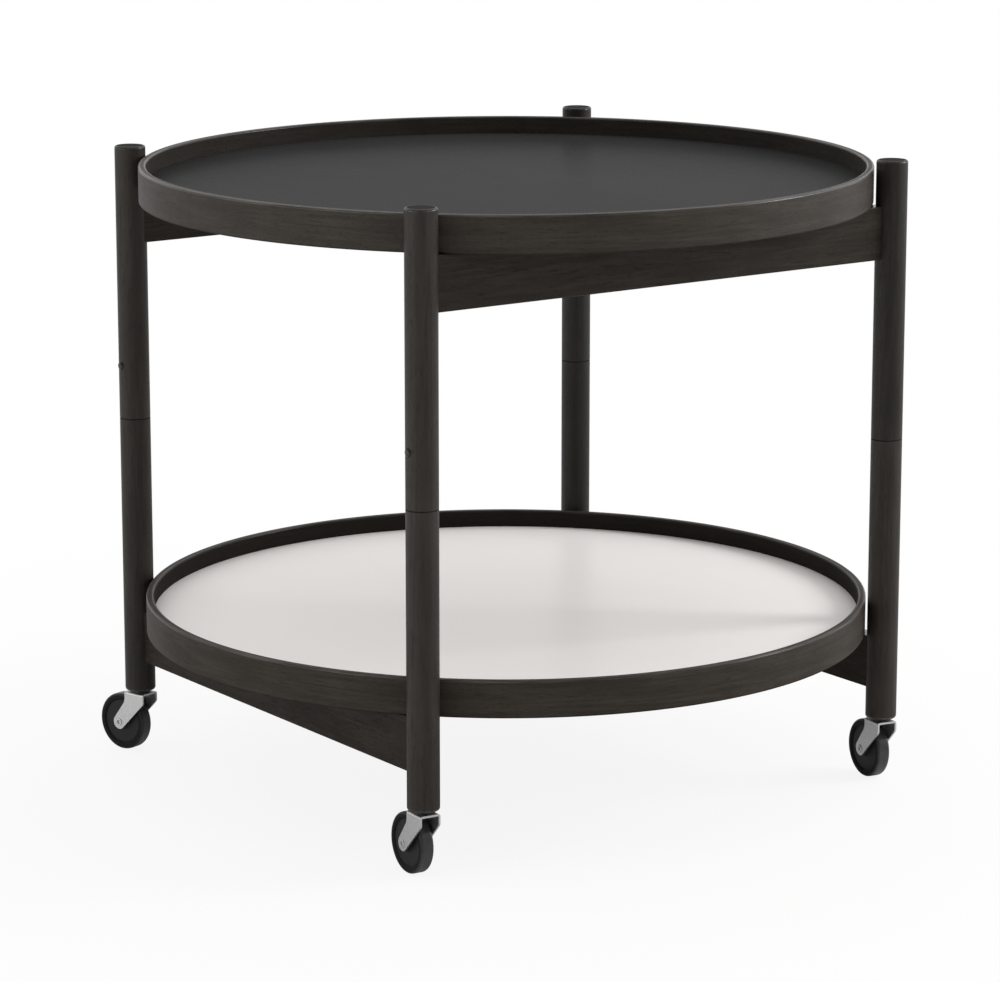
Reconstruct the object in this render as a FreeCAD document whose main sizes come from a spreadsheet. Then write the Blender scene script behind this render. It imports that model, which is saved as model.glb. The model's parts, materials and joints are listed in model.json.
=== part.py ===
import FreeCAD, Part
import math
import os
import Sketcher

# Round tray table: two loose trays on a folding frame of round legs that run on casters.
# Millimetres, +Z up. The origin lies on the floor under the middle of the trays,
# +X runs along the upper rails and +Y along the lower rails.

# Driving sizes: name, value, what it measures.
SIZES = (
    ("tray_diameter", 600.0, "outside of a tray's rim"),
    ("tray_height", 30.0, "a rim from its lower to its upper edge"),
    ("rim_thickness", 6.4, "wall of the bent rim"),
    ("rim_rounding", 1.6, "radius along the rim's four edges"),
    ("panel_depth", 14.9, "a rim's upper edge down to its panel"),
    ("core_thickness", 3.4, "board inside a panel"),
    ("laminate_thickness", 0.8, "sheet on each side of a panel"),
    ("groove_depth", 2.5, "groove in a rim that takes the core's edge"),
    ("panel_play", 0.1, "core and laminates to the rim round them"),
    ("leg_diameter", 25.6, "turned leg"),
    ("leg_lower_length", 236.4, "lower half of a leg"),
    ("leg_upper_length", 229.4, "upper half of a leg"),
    ("leg_top_rounding", 1.8, "radius round a leg's top"),
    ("leg_foot_rounding", 3.0, "radius round a leg's foot"),
    ("seam_chamfer", 0.5, "bevel on each half where a leg is split"),
    ("leg_stand_up", 7.1, "a leg's top above the upper tray's rim"),
    ("tray_play", 1.9, "a tray's rim to each leg"),
    ("fold_gap", 2.1, "two legs apart when they lie side by side in the folded frame"),
    ("rail_height", 43.5, "rail from its lower to its upper edge"),
    ("rail_thickness", 14.0, "rail from its outer to its inner face"),
    ("rail_outset", 2.5, "a rail's outer face outside the line of its leg axes"),
    ("rail_rounding", 1.0, "radius along a rail's edges"),
    ("lower_rail_rise", 26.2, "a leg's foot up to the lower rail"),
    ("tenon_thickness", 7.0, "tenon on each end of a rail"),
    ("tenon_shoulder", 5.0, "a rail's edges to its tenon"),
    ("tenon_length", 9.0, "tenon inside the leg"),
    ("glue_gap", 0.05, "glued and pressed fits, on each side"),
    ("running_clearance", 0.05, "turning fits, on the radius"),
    ("pivot_diameter", 10.0, "pin on which a leg's upper half turns"),
    ("pivot_lower_length", 35.0, "pivot pin in the lower half"),
    ("pivot_upper_length", 55.0, "pivot pin in the upper half"),
    ("pivot_head_room", 0.5, "pivot pin's end to the end of its bore"),
    ("retainer_diameter", 6.8, "cross pin that keeps the halves together"),
    ("retainer_rise", 44.9, "a leg's seam up to its cross pin"),
    ("retainer_proud", 1.8, "cross pin outside the leg"),
    ("retainer_rounding", 1.7, "radius round the cross pin's head"),
    ("retainer_clearance", 0.25, "cross pin to the walls of its groove"),
    ("retainer_groove", 2.0, "depth of the groove round the pivot pin"),
    ("wheel_diameter", 48.8, "caster wheel"),
    ("wheel_width", 11.6, "tread from side to side"),
    ("tyre_thickness", 6.0, "tread on the radius"),
    ("tyre_rounding", 2.2, "radius along the tread's edges"),
    ("hub_recess", 1.3, "hub's face inside the side of the tread"),
    ("hub_boss_diameter", 14.0, "boss round the axle"),
    ("boss_clearance", 0.1, "boss to each fork arm"),
    ("axle_diameter", 5.0, "rivet that the wheel turns on"),
    ("axle_head_diameter", 6.4, "rivet's heads"),
    ("axle_head_height", 0.6, "rivet's heads outside the fork"),
    ("axle_head_rounding", 0.5, "radius round the rivet's heads"),
    ("wheel_side_gap", 1.6, "tread to each fork arm"),
    ("wheel_headroom", 3.9, "wheel's top up to the fork's upper face"),
    ("caster_trail", 17.5, "swivel axis to the axle"),
    ("fork_length", 21.0, "fork's plate along the trail"),
    ("fork_sheet", 1.6, "sheet that the fork is bent from"),
    ("fork_bend", 2.0, "outside radius of the fork's bends"),
    ("fork_drop", 8.7, "straight drop at the top of a fork arm"),
    ("arm_end_radius", 6.1, "round lower end of a fork arm"),
    ("arm_hollow_radius", 10.0, "curve where a fork's rear edge turns into its arms"),
    ("arm_lead_radius", 4.5, "curve where a fork's front edge turns into its arms"),
    ("washer_diameter", 16.0, "washer between fork and leg"),
    ("washer_thickness", 2.2, "washer between fork and leg"),
    ("stem_diameter", 8.0, "stem that the caster swivels on"),
    ("stem_length", 22.0, "stem inside the leg"),
    ("stem_head_diameter", 11.0, "stem's head under the fork's plate"),
    ("stem_head_height", 1.2, "stem's head under the fork's plate"),
    ("socket_wall", 1.5, "sleeve that the stem turns in"),
    ("socket_length", 24.0, "sleeve that the stem turns in"),
    ("front_caster_angle", 85.9, "degrees from +X to the way the wheel trails"),
    ("right_caster_angle", 81.1, "degrees from +X to the way the wheel trails"),
    ("back_caster_angle", 92.0, "degrees from +X to the way the wheel trails"),
    ("left_caster_angle", 107.3, "degrees from +X to the way the wheel trails"),
)

# Places worked out from the driving sizes, each from those above it.
LAYOUT = (
    ("half_diagonal", "dims.tray_diameter / 2 + dims.tray_play + dims.leg_diameter / 2"),
    ("fold_step", "dims.leg_diameter + dims.fold_gap"),
    ("lower_span", "(sqrt(8 * layout.half_diagonal ^ 2 - layout.fold_step ^ 2) - layout.fold_step) / 2"),
    ("upper_span", "layout.lower_span + layout.fold_step"),
    ("fork_top", "dims.wheel_diameter + dims.wheel_headroom"),
    ("fork_width", "dims.wheel_width + 2 * dims.wheel_side_gap + 2 * dims.fork_sheet"),
    ("axle_drop", "dims.wheel_diameter / 2 + dims.wheel_headroom"),
    ("leg_foot", "layout.fork_top + dims.washer_thickness"),
    ("seam", "layout.leg_foot + dims.leg_lower_length"),
    ("leg_top", "layout.seam + dims.leg_upper_length"),
    ("lower_rail", "layout.leg_foot + dims.lower_rail_rise"),
    ("lower_tray", "layout.lower_rail + dims.rail_height"),
    ("upper_tray", "layout.leg_top - dims.leg_stand_up - dims.tray_height"),
    ("upper_rail", "layout.upper_tray - dims.rail_height"),
    ("panel_thickness", "dims.core_thickness + 2 * dims.laminate_thickness"),
    ("panel_rise", "dims.tray_height - dims.panel_depth - layout.panel_thickness"),
    ("rim_inside", "dims.tray_diameter / 2 - dims.rim_thickness"),
    ("core_radius", "layout.rim_inside + dims.groove_depth - dims.panel_play"),
    ("laminate_radius", "layout.rim_inside - dims.panel_play"),
    ("socket_radius", "dims.stem_diameter / 2 + dims.running_clearance + dims.socket_wall"),
    ("retainer_reach", "dims.pivot_diameter / 2 - dims.retainer_groove + dims.retainer_clearance"),
)

# Corners of the frame: name, side along X, side along Y.
CORNERS = (("front", -1, -1), ("right", 1, -1), ("back", 1, 1), ("left", -1, 1))

# Lengths closer than this are the same.
NEAR = 1e-4

doc = FreeCAD.newDocument("tray_table")
pieces = []


def make_dimensions():
    """Sheet of the driving sizes, one row each: what it measures and its value."""
    sheet = doc.addObject("Spreadsheet::Sheet", "dims")
    for row, (name, size, meaning) in enumerate(SIZES, 1):
        sheet.set(f"A{row}", meaning)
        sheet.set(f"B{row}", str(size))
        sheet.setAlias(f"B{row}", name)
    doc.recompute()
    return sheet


def make_layout():
    """Variables that follow the sheet: spans, heights and radii shared by several pieces."""
    variables = doc.addObject("App::VarSet", "layout")
    for name, formula in LAYOUT:
        variables.addProperty("App::PropertyFloat", name, "Layout")
        variables.setExpression(name, formula)
        doc.recompute()
    return variables


dims = make_dimensions()
layout = make_layout()


def value(formula):
    """Present value of a formula in the document's names."""
    return float(layout.evalExpression(formula))


def keep(piece, label):
    """Name a finished sub-part, which also names its file."""
    piece.Label = label
    pieces.append(piece)
    return piece


def place(piece, x="0", y="0", z="0", turn="0"):
    """Bind a sub-part's place and its turn about the vertical, in degrees."""
    for axis, formula in zip("xyz", (x, y, z)):
        piece.setExpression(f"Placement.Base.{axis}", formula)
    piece.setExpression("Placement.Rotation.Angle", turn)


def primitive(kind, name, sizes, x="0", y="0", z="0"):
    """Box or cylinder with its sizes and its place bound to formulas."""
    solid = doc.addObject(kind, name)
    for prop, formula in sizes.items():
        solid.setExpression(prop, formula)
    place(solid, x, y, z)
    return solid


def cylinder(name, radius, height, z="0"):
    """Upright cylinder on its own axis."""
    return primitive("Part::Cylinder", name, {"Radius": radius, "Height": height}, z=z)


def cross_cylinder(name, radius, length, axis, x="0", y="0", z="0"):
    """Cylinder laid over by a quarter turn about X (it then runs to -Y) or Y (to -X)."""
    quarter = 90 if axis == "x" else -90
    way = FreeCAD.Vector(axis == "x", axis == "y", 0)
    solid = doc.addObject("Part::Cylinder", name)
    solid.Placement = FreeCAD.Placement(FreeCAD.Vector(), FreeCAD.Rotation(way, quarter))
    solid.setExpression("Radius", radius)
    solid.setExpression("Height", length)
    for letter, formula in zip("xyz", (x, y, z)):
        solid.setExpression(f"Placement.Base.{letter}", formula)
    return solid


def box(name, length, width, height, x="0", y="0", z="0"):
    """Upright box from its lowest corner."""
    return primitive("Part::Box", name, {"Length": length, "Width": width, "Height": height}, x, y, z)


def cut(name, base, *tools):
    """Base solid less each tool in turn."""
    for number, tool in enumerate(tools, 1):
        less = doc.addObject("Part::Cut", f"{name}_cut{number}")
        less.Base = base
        less.Tool = tool
        base = less
    return base


def new_sketch(body, plane):
    """Sketch on one of a body's own origin planes."""
    sketch = body.newObject("Sketcher::SketchObject", f"{body.Name}_sketch")
    origin_plane = next(feature for feature in body.Origin.OriginFeatures if feature.Role == plane)
    sketch.AttachmentSupport = [(origin_plane, "")]
    sketch.MapMode = "FlatFace"
    return sketch


def pin_point(sketch, side, end, u, v):
    """Hold one end of a sketch line at two formulas, measured from the sketch's origin."""
    for kind, axis, formula in (("DistanceX", -2, u), ("DistanceY", -1, v)):
        if formula == "0":
            sketch.addConstraint(Sketcher.Constraint("PointOnObject", side, end, axis))
        else:
            index = sketch.addConstraint(Sketcher.Constraint(kind, -1, 1, side, end, value(formula)))
            sketch.setExpression(f"Constraints[{index}]", formula)


def outline(sketch, corners):
    """Closed outline of straight sides through corners, each a pair of formulas."""
    points = [FreeCAD.Vector(value(u), value(v), 0) for u, v in corners]
    count = len(points)
    for side in range(count):
        sketch.addGeometry(Part.LineSegment(points[side], points[(side + 1) % count]))
    for side in range(count):
        sketch.addConstraint(Sketcher.Constraint("Coincident", side, 2, (side + 1) % count, 1))
    for side, (u, v) in enumerate(corners):
        pin_point(sketch, side, 1, u, v)


def turned(name, corners, plane="XZ_Plane"):
    """Body turned about the sketch's upright axis: Z for XZ_Plane, Y for XY_Plane."""
    body = doc.addObject("PartDesign::Body", name)
    sketch = new_sketch(body, plane)
    outline(sketch, corners)
    turning = body.newObject("PartDesign::Revolution", f"{name}_turning")
    turning.Profile = sketch
    turning.ReferenceAxis = (sketch, ["V_Axis"])
    turning.Angle = 360
    doc.recompute()
    return body


def is_circle(edge, radius, along, axis):
    """Whether an edge is a circle of that radius at that distance along its axis."""
    if not isinstance(edge.Curve, Part.Circle):
        return False
    centre = getattr(edge.Curve.Center, axis)
    return abs(edge.Curve.Radius - value(radius)) < NEAR and abs(centre - value(along)) < NEAR


def runs_along(edge, axis):
    """Whether an edge lies straight along X, Y or Z: it takes up no room in the other two directions."""
    room = {"x": edge.BoundBox.XLength, "y": edge.BoundBox.YLength, "z": edge.BoundBox.ZLength}
    return all(length < NEAR for direction, length in room.items() if direction != axis)


def dress(body, kind, size_name, formula, chosen):
    """Fillet or chamfer on the edges of a body's last feature that pass a test."""
    base = body.Tip
    edges = [f"Edge{i}" for i, edge in enumerate(base.Shape.Edges, 1) if chosen(edge)]
    feature = body.newObject(f"PartDesign::{kind}", f"{body.Name}_{kind.lower()}")
    feature.Base = (base, edges)
    feature.setExpression(size_name, formula)
    doc.recompute()


def round_ring(body, radius, along, formula, axis="z"):
    """Round the circular edge of that radius at that distance along the axis."""
    dress(body, "Fillet", "Radius", formula, lambda edge: is_circle(edge, radius, along, axis))


def bevel_ring(body, radius, along, formula, axis="z"):
    """Bevel the circular edge of that radius at that distance along the axis."""
    dress(body, "Chamfer", "Size", formula, lambda edge: is_circle(edge, radius, along, axis))


def mortise(name, side, rail_base):
    """Hole for a rail's tenon, towards +X of a leg; side is the inward way along Y."""
    inner = "dims.leg_diameter / 2 - dims.tenon_length - dims.glue_gap"
    thickness = "dims.tenon_thickness + 2 * dims.glue_gap"
    middle = f"{side} * (dims.rail_thickness / 2 - dims.rail_outset)"
    return box(
        name,
        "dims.leg_diameter",
        thickness,
        "dims.rail_height - 2 * dims.tenon_shoulder + 2 * dims.glue_gap",
        x=inner,
        y=f"{middle} - ({thickness}) / 2",
        z=f"{rail_base} + dims.tenon_shoulder - dims.glue_gap",
    )


def make_lower_leg(corner, x_side, y_side):
    """Lower half of a leg: bores for the caster's sleeve and the pivot pin, and a mortise."""
    label = f"leg_lower_{corner}"
    radius = "dims.leg_diameter / 2"
    length = "dims.leg_lower_length"
    socket_bore = "layout.socket_radius + dims.glue_gap"
    pivot_bore = "dims.pivot_diameter / 2 + dims.glue_gap"
    pivot_end = "dims.leg_lower_length - dims.pivot_lower_length"
    blank = turned(f"{label}_blank", (
        (socket_bore, "0"),
        (radius, "0"),
        (radius, length),
        (pivot_bore, length),
        (pivot_bore, pivot_end),
        ("0", pivot_end),
        ("0", "dims.socket_length"),
        (socket_bore, "dims.socket_length"),
    ))
    round_ring(blank, radius, "0", "dims.leg_foot_rounding")
    bevel_ring(blank, radius, length, "dims.seam_chamfer")
    slot = mortise(f"{label}_mortise", x_side * y_side * -1, "dims.lower_rail_rise")
    leg = keep(cut(label, blank, slot), label)
    place(leg, *corner_place(x_side, y_side), "layout.leg_foot", str(-90 * y_side))


def make_upper_leg(corner, x_side, y_side):
    """Upper half of a leg: bore that turns on the pivot pin, cross hole and mortise."""
    label = f"leg_upper_{corner}"
    radius = "dims.leg_diameter / 2"
    length = "dims.leg_upper_length"
    pivot_bore = "dims.pivot_diameter / 2 + dims.running_clearance"
    pivot_end = "dims.pivot_upper_length + dims.pivot_head_room"
    blank = turned(f"{label}_blank", (
        (pivot_bore, "0"),
        (radius, "0"),
        (radius, length),
        ("0", length),
        ("0", pivot_end),
        (pivot_bore, pivot_end),
    ))
    bevel_ring(blank, radius, "0", "dims.seam_chamfer")
    round_ring(blank, radius, length, "dims.leg_top_rounding")
    slot = mortise(f"{label}_mortise", x_side * y_side, "layout.upper_rail - layout.seam")
    hole = cross_cylinder(f"{label}_cross_hole", "dims.retainer_diameter / 2 + dims.glue_gap",
                          "dims.leg_diameter", "y", z="dims.retainer_rise")
    leg = keep(cut(label, blank, slot, hole), label)
    place(leg, *corner_place(x_side, y_side), "layout.seam", str(90 + 90 * x_side))


def corner_place(x_side, y_side):
    """Formulas for a leg's axis."""
    return f"{x_side} * layout.upper_span / 2", f"{y_side} * layout.lower_span / 2"


def make_pivot_pin(corner, x_side, y_side):
    """Pin glued into the lower half, with a groove that the cross pin runs in."""
    label = f"pivot_pin_{corner}"
    radius = "dims.pivot_diameter / 2"
    neck = f"{radius} - dims.retainer_groove"
    half_groove = "(dims.retainer_diameter / 2 + dims.retainer_clearance)"
    middle = "dims.pivot_lower_length + dims.retainer_rise"
    length = "dims.pivot_lower_length + dims.pivot_upper_length"
    pivot = keep(turned(label, (
        ("0", "0"),
        (radius, "0"),
        (radius, f"{middle} - {half_groove}"),
        (neck, f"{middle} - {half_groove}"),
        (neck, f"{middle} + {half_groove}"),
        (radius, f"{middle} + {half_groove}"),
        (radius, length),
        ("0", length),
    )), label)
    bevel_ring(pivot, radius, length, "dims.seam_chamfer")
    place(pivot, *corner_place(x_side, y_side), "layout.seam - dims.pivot_lower_length")


def make_retaining_pin(corner, x_side, y_side):
    """Cross pin with a round head, in the upper half on the side away from the rail."""
    label = f"retaining_pin_{corner}"
    radius = "dims.retainer_diameter / 2"
    end = "dims.leg_diameter / 2 + dims.retainer_proud"
    pin = keep(turned(label, (
        ("0", "layout.retainer_reach"),
        (radius, "layout.retainer_reach"),
        (radius, end),
        ("0", end),
    ), "XY_Plane"), label)
    round_ring(pin, radius, end, "dims.retainer_rounding", "y")
    place(pin, *corner_place(x_side, y_side), "layout.seam + dims.retainer_rise", str(-90 * x_side))


def make_rail(label, span, x, y, z, turn):
    """Rail along X between two legs: hollowed ends that fit the legs, and a tenon on each end."""
    body = doc.addObject("PartDesign::Body", f"{label}_board")
    sketch = new_sketch(body, "YZ_Plane")
    inner = "dims.rail_thickness - dims.rail_outset"
    outer = "-dims.rail_outset"
    outline(sketch, ((outer, "0"), (inner, "0"), (inner, "dims.rail_height"), (outer, "dims.rail_height")))
    board = body.newObject("PartDesign::Pad", f"{label}_pad")
    board.Profile = sketch
    board.Midplane = True
    board.setExpression("Length", span)
    doc.recompute()
    dress(body, "Fillet", "Radius", "dims.rail_rounding", lambda edge: runs_along(edge, "x"))
    hollows = []
    for end in (-1, 1):
        hollow = cylinder(f"{label}_hollow", "dims.leg_diameter / 2 + dims.glue_gap", "dims.rail_height")
        hollow.setExpression("Placement.Base.x", f"{end} * {span} / 2")
        hollows.append(hollow)
    reach = f"{span} / 2 - dims.leg_diameter / 2 + dims.tenon_length"
    tenons = box(
        f"{label}_tenons",
        f"2 * ({reach})",
        "dims.tenon_thickness",
        "dims.rail_height - 2 * dims.tenon_shoulder",
        x=f"-({reach})",
        y="dims.rail_thickness / 2 - dims.rail_outset - dims.tenon_thickness / 2",
        z="dims.tenon_shoulder",
    )
    rail = doc.addObject("Part::Fuse", f"{label}_fuse")
    rail.Base = cut(label, body, *hollows)
    rail.Tool = tenons
    keep(rail, label)
    place(rail, x, y, z, turn)


def make_tray(level, base):
    """Loose tray: bent rim, and a panel whose core sits in the rim's groove between two laminates."""
    outer = "dims.tray_diameter / 2"
    inner = "layout.rim_inside"
    groove = "layout.rim_inside + dims.groove_depth"
    top = "dims.tray_height"
    core_base = "layout.panel_rise + dims.laminate_thickness"
    core_top = f"{core_base} + dims.core_thickness"
    label = f"{level}_tray_rim"
    rim = keep(turned(label, (
        (inner, "0"),
        (outer, "0"),
        (outer, top),
        (inner, top),
        (inner, core_top),
        (groove, core_top),
        (groove, core_base),
        (inner, core_base),
    )), label)
    for radius in (outer, inner):
        for height in ("0", top):
            round_ring(rim, radius, height, "dims.rim_rounding")
    place(rim, z=base)
    layers = (
        ("laminate_bottom", "layout.laminate_radius", "dims.laminate_thickness", "layout.panel_rise"),
        ("core", "layout.core_radius", "dims.core_thickness", core_base),
        ("laminate_top", "layout.laminate_radius", "dims.laminate_thickness", core_top),
    )
    for layer, radius, thickness, rise in layers:
        name = f"{level}_tray_{layer}"
        keep(cylinder(name, radius, thickness, f"{base} + {rise}"), name)


def tangent_point(point, centre, radius, side):
    """Where a line from a point touches a circle, on the left (1) or right (-1) of the line."""
    reach = centre.sub(point)
    bearing = math.atan2(reach.y, reach.x) + side * math.asin(radius / reach.Length)
    run = math.sqrt(reach.Length ** 2 - radius ** 2)
    return point.add(FreeCAD.Vector(math.cos(bearing), math.sin(bearing), 0).multiply(run))


def fork_side(sketch):
    """Side of a fork: plate on top, a straight drop, then arms that narrow to a round end at the axle."""
    half = "dims.fork_length / 2"
    drop = "-dims.fork_drop"
    corners = (("-" + half, "0"), (half, "0"), (half, drop), ("-" + half, drop))
    lead_top, rear_top, rear_low, lead_low = (FreeCAD.Vector(value(u), value(v), 0) for u, v in corners)
    axle = FreeCAD.Vector(value("dims.caster_trail"), -value("layout.axle_drop"), 0)
    radius = value("dims.arm_end_radius")
    rear_touch = tangent_point(rear_low, axle, radius, 1)
    lead_touch = tangent_point(lead_low, axle, radius, -1)
    round_end = Part.Circle(axle, FreeCAD.Vector(0, 0, 1), radius)
    start, stop = (math.atan2(p.y - axle.y, p.x - axle.x) for p in (lead_touch, rear_touch))
    sketch.addGeometry(Part.LineSegment(lead_top, rear_top))
    sketch.addGeometry(Part.LineSegment(rear_top, rear_low))
    sketch.addGeometry(Part.LineSegment(rear_low, rear_touch))
    sketch.addGeometry(Part.ArcOfCircle(round_end, start, stop))
    sketch.addGeometry(Part.LineSegment(lead_touch, lead_low))
    sketch.addGeometry(Part.LineSegment(lead_low, lead_top))
    for side, following in ((0, 1), (1, 2), (4, 5), (5, 0)):
        sketch.addConstraint(Sketcher.Constraint("Coincident", side, 2, following, 1))
    sketch.addConstraint(Sketcher.Constraint("Tangent", 2, 2, 3, 2))
    sketch.addConstraint(Sketcher.Constraint("Tangent", 3, 1, 4, 1))
    for side, (u, v) in zip((0, 1, 2, 5), corners):
        pin_point(sketch, side, 1, u, v)
    pin_point(sketch, 3, 3, "dims.caster_trail", "-layout.axle_drop")
    index = sketch.addConstraint(Sketcher.Constraint("Radius", 3, radius))
    sketch.setExpression(f"Constraints[{index}]", "dims.arm_end_radius")


def is_arm_corner(edge, along):
    """Whether an edge runs across the fork at the foot of its drop, that far along the trail."""
    middle = edge.CenterOfMass
    at_corner = abs(middle.x - along) < NEAR and abs(middle.z + value("dims.fork_drop")) < NEAR
    return at_corner and runs_along(edge, "y")


def make_fork(corner, x_side, y_side):
    """Bent sheet fork: plate under the leg and two trailing arms that hold the axle."""
    label = f"caster_fork_{corner}"
    body = doc.addObject("PartDesign::Body", f"{label}_blank")
    sketch = new_sketch(body, "XZ_Plane")
    fork_side(sketch)
    pad = body.newObject("PartDesign::Pad", f"{label}_pad")
    pad.Profile = sketch
    pad.Midplane = True
    pad.setExpression("Length", "layout.fork_width")
    doc.recompute()
    rear_edge = value("dims.fork_length / 2")
    dress(body, "Fillet", "Radius", "dims.arm_hollow_radius", lambda edge: is_arm_corner(edge, rear_edge))
    dress(body, "Fillet", "Radius", "dims.arm_lead_radius", lambda edge: is_arm_corner(edge, -rear_edge))
    dress(body, "Fillet", "Radius", "dims.fork_bend",
          lambda edge: abs(edge.CenterOfMass.z) < NEAR and runs_along(edge, "x"))
    reach = "(dims.fork_length + dims.caster_trail + dims.arm_end_radius)"
    depth = "(layout.axle_drop + dims.arm_end_radius)"
    inside = "layout.fork_width - 2 * dims.fork_sheet"
    channel = box(f"{label}_channel", f"2 * {reach}", inside, depth,
                  x=f"-{reach}", y=f"-({inside}) / 2", z=f"-dims.fork_sheet - {depth}")
    stem_hole = cylinder(f"{label}_stem_hole", "dims.stem_diameter / 2 + dims.glue_gap",
                         "2 * dims.fork_sheet", "-2 * dims.fork_sheet + dims.glue_gap")
    axle_hole = cross_cylinder(f"{label}_axle_hole", "dims.axle_diameter / 2 + dims.glue_gap",
                               "layout.fork_width + 2 * dims.fork_sheet", "x", "dims.caster_trail",
                               "layout.fork_width / 2 + dims.fork_sheet", "-layout.axle_drop")
    fork = keep(cut(label, body, channel, stem_hole, axle_hole), label)
    place(fork, *corner_place(x_side, y_side), "layout.fork_top", f"dims.{corner}_caster_angle")


def make_swivel(corner, x_side, y_side):
    """Stem riveted to the fork, the washer on the fork and the sleeve in the leg."""
    x, y = corner_place(x_side, y_side)
    radius = "dims.stem_diameter / 2"
    head = "dims.stem_head_diameter / 2"
    shoulder = "dims.stem_head_height"
    length = f"{shoulder} + dims.fork_sheet + dims.washer_thickness + dims.stem_length"
    label = f"caster_stem_{corner}"
    stem = keep(turned(label, (
        ("0", "0"),
        (head, "0"),
        (head, shoulder),
        (radius, shoulder),
        (radius, length),
        ("0", length),
    )), label)
    bevel_ring(stem, radius, length, "dims.seam_chamfer")
    place(stem, x, y, f"layout.fork_top - dims.fork_sheet - {shoulder}")

    bore = f"{radius} + dims.glue_gap"
    label = f"swivel_washer_{corner}"
    washer = keep(turned(label, (
        (bore, "0"),
        ("dims.washer_diameter / 2", "0"),
        ("dims.washer_diameter / 2", "dims.washer_thickness"),
        (bore, "dims.washer_thickness"),
    )), label)
    place(washer, x, y, "layout.fork_top")

    bore = f"{radius} + dims.running_clearance"
    label = f"caster_socket_{corner}"
    sleeve = keep(turned(label, (
        (bore, "0"),
        ("layout.socket_radius", "0"),
        ("layout.socket_radius", "dims.socket_length"),
        (bore, "dims.socket_length"),
    )), label)
    place(sleeve, x, y, "layout.leg_foot")


def place_on_axle(piece, corner, x_side, y_side):
    """Bind a piece that is turned about Y to the middle of a caster's axle."""
    x, y = corner_place(x_side, y_side)
    angle = f"dims.{corner}_caster_angle"
    place(piece, f"{x} + dims.caster_trail * cos({angle})", f"{y} + dims.caster_trail * sin({angle})",
          "dims.wheel_diameter / 2", angle)


def make_wheel(corner, x_side, y_side):
    """Wheel: a hub with a boss round the axle, and a tread round the hub."""
    tread = "dims.wheel_diameter / 2"
    rim = f"{tread} - dims.tyre_thickness"
    side = "dims.wheel_width / 2"
    label = f"wheel_tyre_{corner}"
    tyre = keep(turned(label, (
        (f"{rim} + dims.glue_gap", f"-{side}"),
        (tread, f"-{side}"),
        (tread, side),
        (f"{rim} + dims.glue_gap", side),
    ), "XY_Plane"), label)
    for along in (f"-{side}", side):
        round_ring(tyre, tread, along, "dims.tyre_rounding", "y")
    place_on_axle(tyre, corner, x_side, y_side)

    bore = "dims.axle_diameter / 2 + dims.running_clearance"
    boss = "dims.hub_boss_diameter / 2"
    face = f"{side} - dims.hub_recess"
    end = f"{side} + dims.wheel_side_gap - dims.boss_clearance"
    label = f"wheel_hub_{corner}"
    hub = keep(turned(label, (
        (bore, f"-({end})"),
        (boss, f"-({end})"),
        (boss, f"-({face})"),
        (rim, f"-({face})"),
        (rim, face),
        (boss, face),
        (boss, end),
        (bore, end),
    ), "XY_Plane"), label)
    place_on_axle(hub, corner, x_side, y_side)


def make_axle(corner, x_side, y_side):
    """Rivet through the fork's arms, with a low round head outside each arm."""
    radius = "dims.axle_diameter / 2"
    head = "dims.axle_head_diameter / 2"
    arm = "layout.fork_width / 2"
    end = "layout.fork_width / 2 + dims.axle_head_height"
    label = f"axle_rivet_{corner}"
    rivet = keep(turned(label, (
        ("0", f"-({end})"),
        (head, f"-({end})"),
        (head, f"-{arm}"),
        (radius, f"-{arm}"),
        (radius, arm),
        (head, arm),
        (head, end),
        ("0", end),
    ), "XY_Plane"), label)
    for along in (f"-({end})", end):
        round_ring(rivet, head, along, "dims.axle_head_rounding", "y")
    place_on_axle(rivet, corner, x_side, y_side)


def make_rails():
    """Two upper rails along X and two lower rails along Y, each with its outer face outwards."""
    for label, y_side, turn in (("rail_upper_front", -1, "0"), ("rail_upper_back", 1, "180")):
        y = f"{y_side} * layout.lower_span / 2"
        make_rail(label, "layout.upper_span", "0", y, "layout.upper_rail", turn)
    for label, x_side, turn in (("rail_lower_left", -1, "-90"), ("rail_lower_right", 1, "90")):
        x = f"{x_side} * layout.upper_span / 2"
        make_rail(label, "layout.lower_span", x, "0", "layout.lower_rail", turn)


def check_model():
    """Stop if any object failed, any cut removed nothing, or any sub-part isn't one sound solid."""
    doc.recompute()
    for item in doc.Objects:
        if "Invalid" in item.State or "Error" in item.State:
            raise RuntimeError(f"{item.Label} failed: {item.State}")
        if item.TypeId == "Part::Cut" and item.Shape.Volume > item.Base.Shape.Volume - NEAR:
            raise RuntimeError(f"{item.Label} removes nothing")
    for piece in pieces:
        if piece.Shape.isNull() or not piece.Shape.isValid() or len(piece.Shape.Solids) != 1:
            raise RuntimeError(f"{piece.Label} is not one sound solid")


def main():
    """Build every sub-part, check them and write one file for each."""
    for corner in CORNERS:
        make_lower_leg(*corner)
        make_upper_leg(*corner)
        make_pivot_pin(*corner)
        make_retaining_pin(*corner)
        make_fork(*corner)
        make_swivel(*corner)
        make_wheel(*corner)
        make_axle(*corner)
    make_rails()
    make_tray("lower", "layout.lower_tray")
    make_tray("upper", "layout.upper_tray")
    check_model()
    os.makedirs("parts", exist_ok=True)
    for piece in pieces:
        piece.Shape.exportStep(f"parts/{piece.Label}.step")
    print(len(pieces), "sub-parts")


main()
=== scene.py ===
"""Looks of a round table with two loose trays on a folding frame with casters.

Lengths are in metres. The turned and bent pieces (legs, tray rims, wheels, cross pins, axle rivets and
washers) are surfaces worked out on grids that stand for their solids. Rails, forks, panels and the fittings
inside the legs stay as they are in the frame and get their finishes here.
"""

import json
import logging
from collections.abc import Mapping, Sequence
from dataclasses import dataclass, field, replace
from enum import Enum
from math import cos, pi, radians, sin
from typing import Any

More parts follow.
